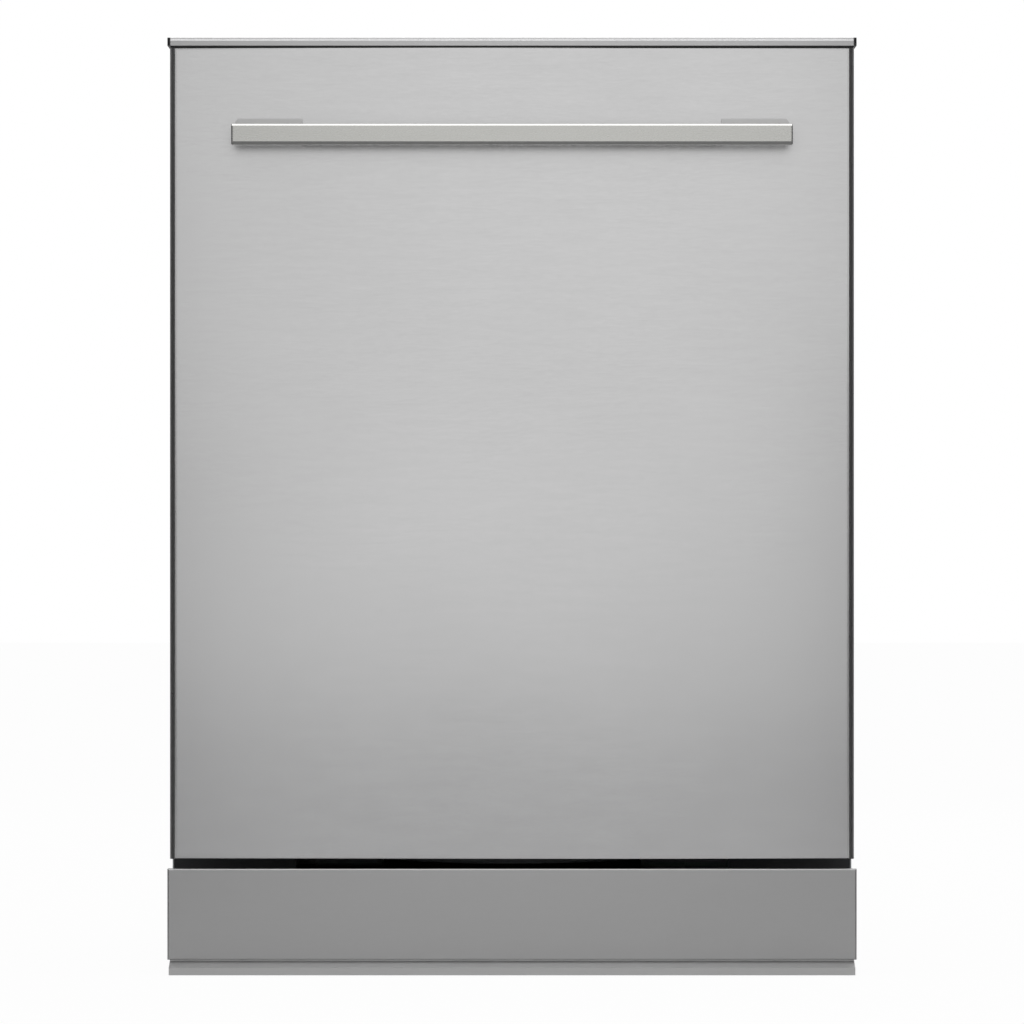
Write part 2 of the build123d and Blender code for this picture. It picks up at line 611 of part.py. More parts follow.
spigot_radius, spigot_bore = 9.5, 6.5
with BuildPart() as drain_pump:
    rod((-pump_x, drain_y, drain_z), (-1, 0, 0), 62, 26)
    rod((drain_x, drain_y, drain_z), (0, 1, 0), base_rear - 20 - drain_y, 8)
    rod((drain_x, base_rear - 22, drain_z), (0, 1, 0), 25, 12.5)
    rod((drain_x, base_rear, drain_z), (0, 1, 0), 3, 17)
    rod((drain_x, base_rear, drain_z), (0, 1, 0), rear_plane - base_rear, spigot_radius)
    rod((drain_x, base_rear - 10, drain_z), (0, 1, 0), 60, spigot_bore, Mode.SUBTRACT)
finish(drain_pump, "drain_pump")

thread_radius = 13.2
with BuildPart() as inlet_valve:
    rod((inlet_x, base_rear, inlet_z), (0, 1, 0), rear_plane - base_rear, thread_radius)
    rod((inlet_x, base_rear, inlet_z), (0, -1, 0), plastic, 12.5)
    block((inlet_x - 22, inlet_x + 22), (base_rear - 60, base_rear - plastic), (inlet_z - 20, inlet_z + 40))
    rod((inlet_x, base_rear + 4, inlet_z), (0, 1, 0), 40, 8, Mode.SUBTRACT)
finish(inlet_valve, "inlet_valve")

gland_bore = 8.0
with BuildPart() as junction_box:
    block((gland_x - 45, gland_x + 45), (base_rear - 75, base_rear - plastic), (50, 128))
    rod((gland_x, base_rear - plastic - 0.1, inlet_z), (0, 1, 0), plastic + 14, 12.5)
    block((gland_x - 42, gland_x + 42), (base_rear - 72, base_rear - plastic - 3), (53, 125), Mode.SUBTRACT)
    rod((gland_x, base_rear - 20, inlet_z), (0, 1, 0), 60, gland_bore, Mode.SUBTRACT)
finish(junction_box, "junction_box")

float_x, float_y = tub_half - 65, rack_front + 28
with BuildPart() as float_dome:
    rod((float_x, float_y, tub_floor + seat_gap), (0, 0, 1), 24, 22)
    fillet(float_dome.faces().sort_by(Axis.Z)[-1].edges(), 8)
finish(float_dome, "float_dome")

# ---- racks ----------------------------------------------------------------------------------
weld_gap = 0.1  # the basket's cage and floor are two bodies of wire this far apart, joined by their welds


def spread(count, low, high):
    """Evenly spaced values from low to high."""
    return [low + i * (high - low) / (count - 1) for i in range(count)]


def bars(centres, x, y, z):
    """Equal blocks of size x, y, z at every centre, joined in one step."""
    with Locations(*centres):
        Box(x, y, z)


def wire_basket(low, high, count_x, count_y):
    """An open wire basket: a floor of wires both ways, and a cage of uprights and two hoops welded round it."""
    wide, deep, tall = 2 * rack_half, rack_rear - rack_front, high - low - wire - weld_gap
    middle_y, middle_z = (rack_front + rack_rear) / 2, high - tall / 2
    edge_x = rack_half - wire / 2
    edge_y = (rack_front + wire / 2, rack_rear - wire / 2)
    floor_x, floor_y = spread(count_x, -edge_x, edge_x), spread(count_y, *edge_y)
    bars([(x, middle_y, low + wire / 2) for x in floor_x], wire, deep, wire)
    bars([(0, y, low + wire / 2) for y in floor_y], wide, wire, wire)
    bars([(x, y, middle_z) for x in floor_x for y in edge_y], wire, wire, tall)
    bars([(x, y, middle_z) for x in (-edge_x, edge_x) for y in floor_y[1:-1]], wire, wire, tall)
    hoops = (low + 40 + wire / 2, high - wire / 2)
    bars([(x, middle_y, z) for x in (-edge_x, edge_x) for z in hoops], wire, deep, wire)
    bars([(0, y, z) for y in edge_y for z in hoops], wide, wire, wire)


shelf_hinge_x, shelf_z, shelf_wide = 13 - rack_half, upper_rim - 22, 96.0
shelf_ends = (rack_front + 28, rack_rear - 28)
with BuildPart() as upper_rack:
    wire_basket(upper_floor, upper_rim, 8, 8)
    for y in (shelf_ends[0] + 2, shelf_ends[1] - 8):
        block((-rack_half, shelf_hinge_x + 6), (y, y + 6), (shelf_z - 6, upper_rim))
        rod((shelf_hinge_x, y - 1, shelf_z), (0, 1, 0), 8, 3 + slip, Mode.SUBTRACT)
finish(upper_rack, "upper_rack")

middle_back = mouth_half - 0.5  # the middle rails run out through the tub's mouth
slot_back = middle_back + seat_gap
outer_x, middle_x, inner_x = mouth_half - 4, rack_half + 7.5, rack_half + 6
middle_web = middle_back - 4.5
middle_half, inner_half = 7.0, 4.0  # half heights of the slots that the rails run in
with BuildPart() as upper_outer_rails:
    for side in SIDES:
        block(mirrored(outer_x, tub_half, side), (rail_front, rail_rear), (rail_z - rail_half, rail_z + rail_half))
        block(mirrored(outer_x - 1, slot_back, side), (rail_front - 1, rail_rear + 1),
              (rail_z - middle_half, rail_z + middle_half), Mode.SUBTRACT)
finish(upper_outer_rails, "upper_outer_rails")

with BuildPart() as upper_middle_rails:
    for side in SIDES:
        block(mirrored(middle_x, middle_back, side), (rail_front, rail_rear - 2),
              (rail_z - middle_half + seat_gap, rail_z + middle_half - seat_gap))
        block(mirrored(middle_x - 1, middle_web, side), (rail_front - 1, rail_rear + 1),
              (rail_z - inner_half, rail_z + inner_half), Mode.SUBTRACT)
finish(upper_middle_rails, "upper_middle_rails")

with BuildPart() as upper_inner_rails:
    for side in SIDES:
        block(mirrored(inner_x, middle_web - seat_gap, side), (rail_front, rail_rear - 4),
              (rail_z - inner_half + seat_gap, rail_z + inner_half - seat_gap))
        for y in (rack_front + 58, rack_rear - 58):
            block(mirrored(rack_half, inner_x, side), (y - 12, y + 12),
                  (rail_z - inner_half + seat_gap, upper_rim - 4))
finish(upper_inner_rails, "upper_inner_rails")

with BuildPart() as upper_feed_tube:
    rod((0, duct_front - 6 - seat_gap, feed_z), (0, -1, 0), duct_front - 6 - seat_gap - arm_y, 9)
    rod((0, arm_y, feed_z - 10), (0, 0, 1), 20, 15)
    rod((0, arm_y, upper_arm_z - 2), (0, 0, 1), 14, 9)
    rod((0, arm_y, upper_arm_z - 4), (0, 0, 1), 2, 13)
    for y in (100.0, 220.0):
        block((-12, 12), (y - 6, y + 6), (feed_z, upper_floor))
finish(upper_feed_tube, "upper_feed_tube")

with BuildPart() as upper_spray_arm:
    spray_arm(upper_arm_z - 2 + seat_gap, arm_y, 205, 32, 9, 9 + slip)
finish(upper_spray_arm, "upper_spray_arm")

wires_y = spread(12, shelf_ends[0] + 12, shelf_ends[1] - 12)
with BuildPart() as cup_shelf:
    rod((shelf_hinge_x, shelf_ends[0], shelf_z), (0, 1, 0), shelf_ends[1] - shelf_ends[0], 3)
    bars([(shelf_hinge_x + shelf_wide / 2, y, shelf_z) for y in wires_y], shelf_wide, 3, 3)
    bars([(shelf_hinge_x + x, (wires_y[0] + wires_y[-1]) / 2, shelf_z) for x in (shelf_wide / 2, shelf_wide - 1.5)],
         3, wires_y[-1] - wires_y[0] + 3, 3)
finish(cup_shelf, "cup_shelf")

wheel_x = tub_half - 20.0
wheel_z = tub_floor + seat_gap + wheel_radius
wheel_y = (rack_front + 38, rack_rear - 58)
tine_y, tine_z, tine_height, tine_radius = 122.0, lower_floor + 12, 76.0, 2.5
fixed_tine_y = (40.0, 205.0)
clip_x = rack_half - 18.5
carrier_gap = 0.1  # the wheel carriers clip on outside the side wires
with BuildPart() as lower_rack:
    wire_basket(lower_floor, lower_rim, 9, 9)
    bars([(0, y, lower_floor + wire / 2) for y in fixed_tine_y], 2 * rack_half, wire, wire)
    bars([(x, y, lower_floor + 35) for x in spread(7, 35 - rack_half, rack_half - 35) for y in fixed_tine_y],
         wire, wire, 70)
    for side in SIDES:
        block(mirrored(clip_x, clip_x + 9.5, side), (tine_y - 5, tine_y + 5), (lower_floor, tine_z + 5))
        rod((side * (clip_x - 1), tine_y, tine_z), (side, 0, 0), 11.5, tine_radius + slip, Mode.SUBTRACT)
        block(mirrored(clip_x + 8.5, rack_half, side), (tine_y - 5, tine_y + 5), (lower_floor, lower_floor + wire))
        for y in wheel_y:
            block(mirrored(rack_half + carrier_gap, wheel_x - 0.5, side), (y - 8, y + 8),
                  (wheel_z - 7, lower_floor + 44))
            rod((side * (wheel_x - 0.5), y, wheel_z), (side, 0, 0), wheel_width + 2, axle_radius)
finish(lower_rack, "lower_rack")

for end, y in zip(("front", "rear"), wheel_y):
    for side, hand in zip(SIDES, ("left", "right")):
        with BuildPart() as wheel:
            rod((side * wheel_x, y, wheel_z), (side, 0, 0), wheel_width, wheel_radius)
            rod((side * (wheel_x - 1), y, wheel_z), (side, 0, 0), 30, axle_radius + slip, Mode.SUBTRACT)
            fillet(wheel.edges().filter_by(GeomType.CIRCLE).group_by(SortBy.RADIUS)[-1], 1.5)
        finish(wheel, f"rack_wheel_{end}_{hand}")

with BuildPart() as folding_tines:
    rod((-clip_x - 5.5, tine_y, tine_z), (1, 0, 0), 2 * clip_x + 11, tine_radius)
    bars([(x, tine_y, tine_z + tine_height / 2) for x in spread(13, 33 - rack_half, rack_half - 33)],
         3.4, 3.4, tine_height)
finish(folding_tines, "folding_tines")

basket_x, basket_y = (rack_half - 250, rack_half - 13), (rack_front + 8, rack_front + 94)
basket_low, basket_high, basket_wall, cells = lower_floor + wire + seat_gap, 338.0, 2.0, 5
cell = (basket_x[1] - basket_x[0] - basket_wall) / cells
with BuildPart() as cutlery_basket:
    block(basket_x, basket_y, (basket_low, basket_high))
    for i in range(cells):
        x = basket_x[0] + basket_wall + i * cell
        block((x, x + cell - basket_wall), (basket_y[0] + basket_wall, basket_y[1] - basket_wall),
              (basket_low + basket_wall, basket_high + 1), Mode.SUBTRACT)
finish(cutlery_basket, "cutlery_basket")
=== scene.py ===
"""Looks of a built-under dishwasher: finishes, round rack wires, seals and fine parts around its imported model."""
import json
import math
import bmesh
import bpy
import numpy as np
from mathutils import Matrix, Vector

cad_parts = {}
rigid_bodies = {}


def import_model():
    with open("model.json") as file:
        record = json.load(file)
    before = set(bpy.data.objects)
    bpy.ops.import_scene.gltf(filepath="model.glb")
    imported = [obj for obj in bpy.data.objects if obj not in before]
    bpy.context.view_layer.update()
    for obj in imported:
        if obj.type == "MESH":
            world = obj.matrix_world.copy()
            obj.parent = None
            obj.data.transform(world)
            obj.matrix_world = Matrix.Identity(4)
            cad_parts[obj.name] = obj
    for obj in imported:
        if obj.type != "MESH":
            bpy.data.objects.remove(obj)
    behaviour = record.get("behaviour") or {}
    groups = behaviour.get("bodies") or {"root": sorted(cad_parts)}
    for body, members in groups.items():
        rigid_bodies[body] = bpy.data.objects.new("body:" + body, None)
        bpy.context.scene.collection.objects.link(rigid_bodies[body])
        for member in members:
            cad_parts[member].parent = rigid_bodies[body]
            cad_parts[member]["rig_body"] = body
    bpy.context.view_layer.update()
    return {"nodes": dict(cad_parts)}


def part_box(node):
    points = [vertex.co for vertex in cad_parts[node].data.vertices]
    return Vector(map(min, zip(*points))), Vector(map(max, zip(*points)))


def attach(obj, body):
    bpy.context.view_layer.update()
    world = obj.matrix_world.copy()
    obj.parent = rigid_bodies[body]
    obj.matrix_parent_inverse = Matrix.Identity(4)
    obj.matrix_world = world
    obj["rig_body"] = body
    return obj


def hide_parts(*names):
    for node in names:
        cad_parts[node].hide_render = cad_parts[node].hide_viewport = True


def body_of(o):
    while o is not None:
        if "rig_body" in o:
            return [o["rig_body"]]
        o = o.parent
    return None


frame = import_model()
nodes = frame["nodes"]
MM = 0.001
TURN = 2 * math.pi
SHARP = math.radians(35)  # an edge that turns by more than this is a crease
WIRE_SIDES = 8
X, Y, Z = np.eye(3)


# ---- surfaces -------------------------------------------------------------------------------
def quads(rows, columns, wrap_rows):
    """Four-cornered faces of a grid: every row is a loop, and the last row joins the first where asked."""
    r = np.arange(rows if wrap_rows else rows - 1)[:, None]
    c = np.arange(columns)[None, :]
    up, right = (r + 1) % rows, (c + 1) % columns
    corners = [r * columns + c, r * columns + right, up * columns + right, up * columns + c]
    return np.stack(np.broadcast_arrays(*corners), -1).reshape(-1, 4)


class Pile:
    """Collects surfaces as whole arrays, then makes one piece of them."""

    def __init__(self):
        self.points, self.faces, self.count = [], [], 0

    def add(self, points, wrap_rows=False):
        """A grid of points; its first and last rows are closed by flat faces unless they join each other."""
        rows, columns = points.shape[:2]
        self.faces += (quads(rows, columns, wrap_rows) + self.count).tolist()
        if not wrap_rows:
            ring = np.arange(columns) + self.count
            self.faces += [ring[::-1].tolist(), (ring + (rows - 1) * columns).tolist()]
        self.points.append(points.reshape(-1, 3))
        self.count += rows * columns

    def piece(self, name, stands_for, material):
        """The object, from millimetres, its faces turned outwards, riding on the body of the nodes it replaces."""
        mesh = bpy.data.meshes.new(name)
        mesh.from_pydata((np.concatenate(self.points) * MM).tolist(), [], self.faces)
        shape = bmesh.new()
        shape.from_mesh(mesh)
        bmesh.ops.recalc_face_normals(shape, faces=shape.faces)
        shape.to_mesh(mesh)
        shape.free()
        mesh.materials.append(material)
        thing = bpy.data.objects.new(name, mesh)
        bpy.context.collection.objects.link(thing)
        mesh.shade_smooth()
        mesh.set_sharp_from_angle(angle=SHARP)
        thing.modifiers.new("flat faces stay flat", "WEIGHTED_NORMAL").keep_sharp = True
        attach(thing, body_of(nodes[stands_for[0]])[0])
        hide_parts(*stands_for)
        return thing


def unit(vectors):
    """Each vector divided by its length."""
    return vectors / np.linalg.norm(vectors, axis=-1, keepdims=True)


def eased(corners, radius, closed=False, steps=6):
    """The path through corners, each turn a quadratic blend from radius before it to radius after it."""
    p = np.array(corners, float)
    enter = p + radius * unit(np.roll(p, 1, 0) - p)
    leave = p + radius * unit(np.roll(p, -1, 0) - p)
    t = np.linspace(0, 1, steps)[None, :, None]
    bend = (1 - t) ** 2 * enter[:, None] + 2 * t * (1 - t) * p[:, None] + t**2 * leave[:, None]
    if closed:
        return bend.reshape(-1, 3)
    return np.concatenate([p[:1], bend[1:-1].reshape(-1, 3), p[-1:]])


def carried(path, across, profile, closed=False):
    """A profile (side, up) carried along a flat path: point = path + side * (tangent x across) + up * across."""
    step = np.roll(path, -1, 0) - np.roll(path, 1, 0) if closed else np.gradient(path, axis=0)
    side = unit(np.cross(unit(step), across))
    profile = np.asarray(profile, float)
    return path[:, None] + profile[None, :, :1] * side[:, None] + profile[None, :, 1:] * np.asarray(across)


def circle(radius, sides):
    """Points round a circle."""
    turn = np.linspace(0, TURN, sides, endpoint=False)
    return radius * np.stack([np.cos(turn), np.sin(turn)], -1)


def rounded_outline(wide, tall, radius, steps):
    """A rectangle's outline with quarter-circle corners: corner centre + radius * (cos, sin)."""
    turn = np.linspace(0, TURN / 4, steps)
    starts = np.arange(4) * TURN / 4
    angle = starts[:, None] + turn[None, :]
    centre = np.array([[1, 1], [-1, 1], [-1, -1], [1, -1]]) * (np.array([wide, tall]) / 2 - radius)
    return (centre[:, None] + radius * np.stack([np.cos(angle), np.sin(angle)], -1)).reshape(-1, 2)


def spun(centre, axis, outline, sides):
    """An outline (radius, height) spun about an axis through centre."""
    axis = np.asarray(axis, float)
    first = unit(np.cross(axis, X if abs(axis[0]) < 0.9 else Y))
    second = np.cross(axis, first)
    turn = np.linspace(0, TURN, sides, endpoint=False)
    spoke = np.cos(turn)[:, None] * first + np.sin(turn)[:, None] * second
    outline = np.asarray(outline, float)
    return np.asarray(centre) + outline[:, None, :1] * spoke[None] + outline[:, None, 1:] * axis


# ---- node tools -----------------------------------------------------------------------------
def put(tree, kind, settings=None, **values):
    """A shader node with its settings and its unlinked or linked inputs."""
    node = tree.nodes.new(kind)
    for key, value in (settings or {}).items():
        setattr(node, key, value)
    for key, value in values.items():
        socket = node.inputs[int(key[1:])] if key[0] == "_" else node.inputs[key.replace("_", " ")]
        if isinstance(value, bpy.types.NodeSocket):
            tree.links.new(value, socket)
        else:
            socket.default_value = value
    return node


def sums(tree, operation, first, second, third=0.0):
    """One arithmetic step."""
    return put(tree, "ShaderNodeMath", {"operation": operation}, _0=first, _1=second, _2=third).outputs[0]


def tint(tree, colour, value):
    """A colour times a value."""
    mixed = put(tree, "ShaderNodeMix", {"data_type": "RGBA", "blend_type": "MULTIPLY"}, _0=1.0, _6=colour, _7=value)
    return mixed.outputs[2]


def noise(tree, place, scale, detail, roughness=0.5):
    """Cloudy noise between 0 and 1."""
    return put(tree, "ShaderNodeTexNoise", None, Vector=place, Scale=scale, Detail=detail,
               Roughness=roughness).outputs["Fac"]


def stretch(tree, place, scale):
    """Coordinates scaled apart along each axis."""
    return put(tree, "ShaderNodeMapping", None, Vector=place, Scale=scale).outputs[0]


def group(name, inputs, build):
    """A shared effect as a node group; build(tree, inputs) returns its named outputs."""
    tree = bpy.data.node_groups.new(name, "ShaderNodeTree")
    for label, kind, value in inputs:
        socket = tree.interface.new_socket(label, in_out="INPUT", socket_type=kind)
        if value is not None:
            socket.default_value = value
    entry = tree.nodes.new("NodeGroupInput")
    made = build(tree, {label: entry.outputs[label] for label, _, _ in inputs})
    leave = tree.nodes.new("NodeGroupOutput")
    for label, (kind, result) in made.items():
        tree.interface.new_socket(label, in_out="OUTPUT", socket_type=kind)
        tree.links.new(result, leave.inputs[label])
    return tree


FLOAT, COLOUR, PLACE = "NodeSocketFloat", "NodeSocketColor", "NodeSocketVector"
FINISH_INPUTS = [("Place", PLACE, None), ("Tone", COLOUR, (0.5, 0.5, 0.5, 1)), ("Gloss", FLOAT, 0.3),
                 ("Contrast", FLOAT, 1.0)]


def finish_outputs(tree, tone, shade, gloss, shift, height):
    """The three outputs every finish has."""
    return {"Colour": (COLOUR, tint(tree, tone, shade)),
            "Roughness": (FLOAT, sums(tree, "ADD", gloss, shift)),
            "Height": (FLOAT, height)}


def build_brushed(tree, given):
    """Fine lines along X over broad cloudy patches."""
    fine = noise(tree, stretch(tree, given["Place"], (110, 820, 820)), 1.0, 2.0, 0.6)
    broad = noise(tree, stretch(tree, given["Place"], (22, 150, 150)), 1.0, 2.0)
    cloud = noise(tree, given["Place"], 5.0, 3.0, 0.55)
    mixed = sums(tree, "ADD", sums(tree, "MULTIPLY", fine, 0.6), sums(tree, "MULTIPLY", broad, 0.4))
    lines = sums(tree, "SUBTRACT", mixed, 0.5)
    patch = sums(tree, "MULTIPLY", sums(tree, "SUBTRACT", cloud, 0.5), 0.12)
    varied = sums(tree, "MULTIPLY_ADD", lines, 0.28, patch)
    shade = sums(tree, "MULTIPLY_ADD", varied, given["Contrast"], 1.0)
    shift = sums(tree, "MULTIPLY", sums(tree, "MULTIPLY", lines, 0.12), given["Contrast"])
    return finish_outputs(tree, given["Tone"], shade, given["Gloss"], shift, fine)


def build_moulded(tree, given):
    """The fine pitted grain of a spark-eroded mould, with a little unevenness in the colour."""
    pits = put(tree, "ShaderNodeTexVoronoi", {"feature": "F1"}, Vector=given["Place"], Scale=1400.0).outputs[0]
    grain = noise(tree, given["Place"], 700.0, 3.0)
    cloud = sums(tree, "SUBTRACT", noise(tree, given["Place"], 9.0, 3.0), 0.5)
    shade = sums(tree, "MULTIPLY_ADD", sums(tree, "MULTIPLY", cloud, 0.3), given["Contrast"], 1.0)
    height = sums(tree, "ADD", pits, grain)
    shift = sums(tree, "MULTIPLY", sums(tree, "SUBTRACT", grain, 0.5), 0.2)
    return finish_outputs(tree, given["Tone"], shade, given["Gloss"], shift, height)


def build_spangle(tree, given):
    """Zinc spangle: crystals of slightly different brightness with a fine haze over them."""
    cells = put(tree, "ShaderNodeTexVoronoi", {"feature": "F1"}, Vector=given["Place"], Scale=85.0)
    tone = put(tree, "ShaderNodeSeparateColor", None, _0=cells.outputs["Color"]).outputs[0]
    haze = noise(tree, given["Place"], 30.0, 4.0)
    mixed = sums(tree, "SUBTRACT", sums(tree, "MULTIPLY_ADD", haze, 0.6, sums(tree, "MULTIPLY", tone, 0.4)), 0.5)
    shade = sums(tree, "MULTIPLY_ADD", sums(tree, "MULTIPLY", mixed, 0.45), given["Contrast"], 1.0)
    shift = sums(tree, "MULTIPLY", mixed, 0.3)
    return finish_outputs(tree, given["Tone"], shade, given["Gloss"], shift, haze)


BRUSHED = group("brushed steel", FINISH_INPUTS, build_brushed)
MOULDED = group("moulded grain", FINISH_INPUTS, build_moulded)
SPANGLE = group("zinc spangle", FINISH_INPUTS, build_spangle)


def finish(name, effect, tone, gloss, contrast, bump, distance, **shader):
    """A material whose colour, roughness and bump come from one of the shared effects."""
    made = bpy.data.materials.new(name)
    made.use_nodes = True
    tree = made.node_tree
    principled = tree.nodes["Principled BSDF"]
    place = tree.nodes.new("ShaderNodeTexCoord").outputs["Object"]
    look = put(tree, "ShaderNodeGroup", {"node_tree": effect}, Place=place, Tone=(*tone, 1), Gloss=gloss,
               Contrast=contrast)
    tree.links.new(look.outputs["Colour"], principled.inputs["Base Color"])
    tree.links.new(look.outputs["Roughness"], principled.inputs["Roughness"])
    bent = put(tree, "ShaderNodeBump", None, Strength=bump, Distance=distance, Height=look.outputs["Height"])
    tree.links.new(bent.outputs[0], principled.inputs["Normal"])
    for key, value in shader.items():
        principled.inputs[key.replace("_", " ")].default_value = value
    return made


door_steel = finish("door steel", BRUSHED, (0.60, 0.60, 0.605), 0.23, 0.75, 0.02, 0.0002, Metallic=1.0)
kick_steel = finish("toe kick steel", BRUSHED, (0.525, 0.525, 0.527), 0.42, 0.18, 0.03, 0.0002, Metallic=1.0)
# painted light: the door skin's own steel in a lighter tone for its side bevels, setting how bright they read against
# the dark flags
bevel_painted_light = finish("door bevel painted light", BRUSHED, (0.86, 0.86, 0.865), 0.28, 0.3, 0.05, 0.0002, Metallic=1.0)
strip_steel = finish("floor strip steel", BRUSHED, (0.66, 0.66, 0.66), 0.5, 0.2, 0.03, 0.0002, Metallic=1.0)
plate_steel = finish("bracket steel", BRUSHED, (0.53, 0.53, 0.53), 0.30, 0.6, 0.05, 0.0002, Metallic=1.0)
# painted shade: the handle's own steel made darker for its downward-facing bevel, standing in for the dark floor it
# faces
bar_underside_painted_shade = finish("bar underside painted shade", BRUSHED, (0.29, 0.29, 0.285), 0.34, 0.5, 0.05, 0.0002, Metallic=1.0)
bar_steel = finish("handle steel", BRUSHED, (0.53, 0.53, 0.51), 0.27, 0.6, 0.05, 0.0002, Metallic=1.0)
cap_steel = finish("cap steel", BRUSHED, (0.55, 0.55, 0.555), 0.34, 0.4, 0.05, 0.0002, Metallic=1.0)
tub_steel = finish("tub steel", BRUSHED, (0.62, 0.63, 0.64), 0.24, 0.35, 0.04, 0.0002, Metallic=1.0)
zinc = finish("zinc sheet", SPANGLE, (0.50, 0.52, 0.53), 0.38, 1.0, 0.05, 0.0002, Metallic=0.9)
plated = finish("plated steel", SPANGLE, (0.62, 0.62, 0.60), 0.25, 0.4, 0.05, 0.0002, Metallic=1.0)
black_plastic = finish("black plastic", MOULDED, (0.018, 0.018, 0.020), 0.42, 0.6, 0.12, 0.0002)
base_plastic = finish("base plastic", MOULDED, (0.03, 0.031, 0.034), 0.55, 0.8, 0.2, 0.0003)
grey_plastic = finish("grey plastic", MOULDED, (0.36, 0.37, 0.39), 0.40, 0.4, 0.1, 0.0002)
pale_plastic = finish("pale plastic", MOULDED, (0.72, 0.72, 0.70), 0.42, 0.3, 0.1, 0.0002)
blue_plastic = finish("blue plastic", MOULDED, (0.03, 0.12, 0.38), 0.3, 0.4, 0.06, 0.0002)
wire_coat = finish("nylon wire coat", MOULDED, (0.40, 0.42, 0.45), 0.33, 0.4, 0.08, 0.0002, Coat_Weight=0.2)
rubber = finish("seal rubber", MOULDED, (0.022, 0.022, 0.023), 0.62, 0.8, 0.15, 0.0002)
bitumen = finish("bitumen mat", MOULDED, (0.025, 0.025, 0.026), 0.72, 1.5, 0.5, 0.001)
felt = finish("fibre felt", MOULDED, (0.32, 0.30, 0.27), 0.9, 2.0, 0.6, 0.002)
window_gloss = finish("display window", MOULDED, (0.006, 0.006, 0.008), 0.08, 0.3, 0.01, 0.0001, Coat_Weight=0.6)


def dress(material, *names):
    """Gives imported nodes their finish."""
    for name in names:
        for slot in nodes[name].material_slots:
            slot.link = "OBJECT"
            slot.material = material


dress(door_steel, "door_outer_panel")
dress(kick_steel, "toe_kick_panel")
dress(strip_steel, "toe_kick_floor_strip")
dress(bar_steel, "handle_bar")
dress(plate_steel, "handle_brackets")
dress(cap_steel, "control_cap")
dress(tub_steel, "tub_shell", "tub_front_frame", "door_inner_liner", "filter_plate")
dress(zinc, "left_side_panel", "right_side_panel", "worktop_brackets", "hinge_brackets", "hinge_arms",
      "toe_kick_stays", "upper_outer_rails", "upper_middle_rails", "upper_inner_rails")
dress(plated, "hinge_pins", "door_springs", "cabinet_screws", "door_screws")
dress(black_plastic, "control_panel", "power_button", "program_button", "start_button")
dress(base_plastic, "base_tray", "leg_front_left", "leg_front_right", "leg_rear_left", "leg_rear_right")
dress(grey_plastic, "sump", "water_feed_duct", "upper_feed_tube", "lower_spray_arm", "upper_spray_arm",
      "ceiling_spray_arm", "filter_cup", "float_dome", "dispenser_housing", "dispenser_lid", "cutlery_basket",
      "rack_wheel_front_left", "rack_wheel_front_right", "rack_wheel_rear_left", "rack_wheel_rear_right")
dress(blue_plastic, "rinse_aid_cap")
dress(pale_plastic, "circulation_pump", "drain_pump", "inlet_valve", "junction_box")
dress(wire_coat, "upper_rack", "lower_rack", "cup_shelf", "folding_tines")
dress(rubber, "door_gasket")
dress(bitumen, "sound_mat")
dress(felt, "door_insulation")
dress(window_gloss, "display_window")


# ---- pieces -----------------------------------------------------------------------------------
def limits(node):
    """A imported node's lowest and highest corner, in millimetres."""
    return np.array(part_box(node)) * 1000


def beam(pile, start, end, across, wide, thick, edge=0.4):
    """A straight bar of rounded rectangular section, its ends eased: inset rows at both ends."""
    start, end = np.asarray(start, float), np.asarray(end, float)
    along = unit(end - start)
    path = np.stack([start, start + edge * along, end - edge * along, end])
    section = carried(path, np.asarray(across, float), rounded_outline(wide, thick, min(wide, thick) * 0.3, 3))
    shrink = np.array([1 - 2 * edge / max(wide, thick), 1, 1, 1 - 2 * edge / max(wide, thick)])[:, None, None]
    pile.add(path[:, None] + (section - path[:, None]) * shrink)


def tube(pile, path, radius, across, closed=False):
    """A round wire along a flat path whose plane is square to across."""
    pile.add(carried(np.asarray(path, float), np.asarray(across, float), circle(radius, WIRE_SIDES), closed),
             wrap_rows=closed)


def pin(pile, centre, axis, outline, sides):
    """A turned solid: outline (radius, height) from one end of the axis to the other, both ends closed flat."""
    pile.add(spun(centre, axis, outline, sides))


def ring(pile, centre, axis, outline, sides=48):
    """A turned ring: a closed outline (radius, height) spun about the axis."""
    pile.add(spun(centre, axis, outline, sides), wrap_rows=True)


def rod(pile, centre, axis, length, radius, edge=0.4, sides=24):
    """A turned pin with eased ends."""
    pin(pile, centre, axis, [(radius - edge, 0), (radius, edge), (radius, length - edge), (radius - edge, length)],
        sides)


def recolour(thing, material, chosen):
    """Gives some faces of a piece a second finish."""
    thing.data.materials.append(material)
    for face in thing.data.polygons:
        if chosen(face):
            face.material_index = 1


def door_skin():
    """The pressed skin: rectangles stepping in towards the front along both bevels, and the wall's inside."""
    low, high = limits("door_outer_panel")
    outer = [(0, 0, 14), (0, 0, 6.3), (0.2, 0, 5.6), (1.75, 0, 2.5), (2.15, 0, 2.0), (4.1, 0.25, 0.25),
             (4.7, 0.9, 0), (7, 3, 0)]
    inner = [(7, 3, 1.2), (5.0, 1.2, 1.25), (2.9, 1.2, 2.9), (1.2, 1.2, 6.5), (1.2, 1.2, 14)]
    rows = np.array(inner + outer)
    x0, x1 = low[0] + rows[:, 0], high[0] - rows[:, 0]
    z0, z1 = low[2] + rows[:, 1], high[2] - rows[:, 1]
    y = low[1] + rows[:, 2]
    points = np.stack([np.stack([x0, y, z0], -1), np.stack([x1, y, z0], -1), np.stack([x1, y, z1], -1),
                       np.stack([x0, y, z1], -1)], 1)
    pile = Pile()
    pile.add(points)
    skin = pile.piece("door_skin", ["door_outer_panel"], door_steel)
    # the side bevel faces get the lighter tone: painted light on the skin's bevels
    recolour(skin, bevel_painted_light, lambda face: abs(face.normal.x) > 0.3 and abs(face.center.x) > 0.29)


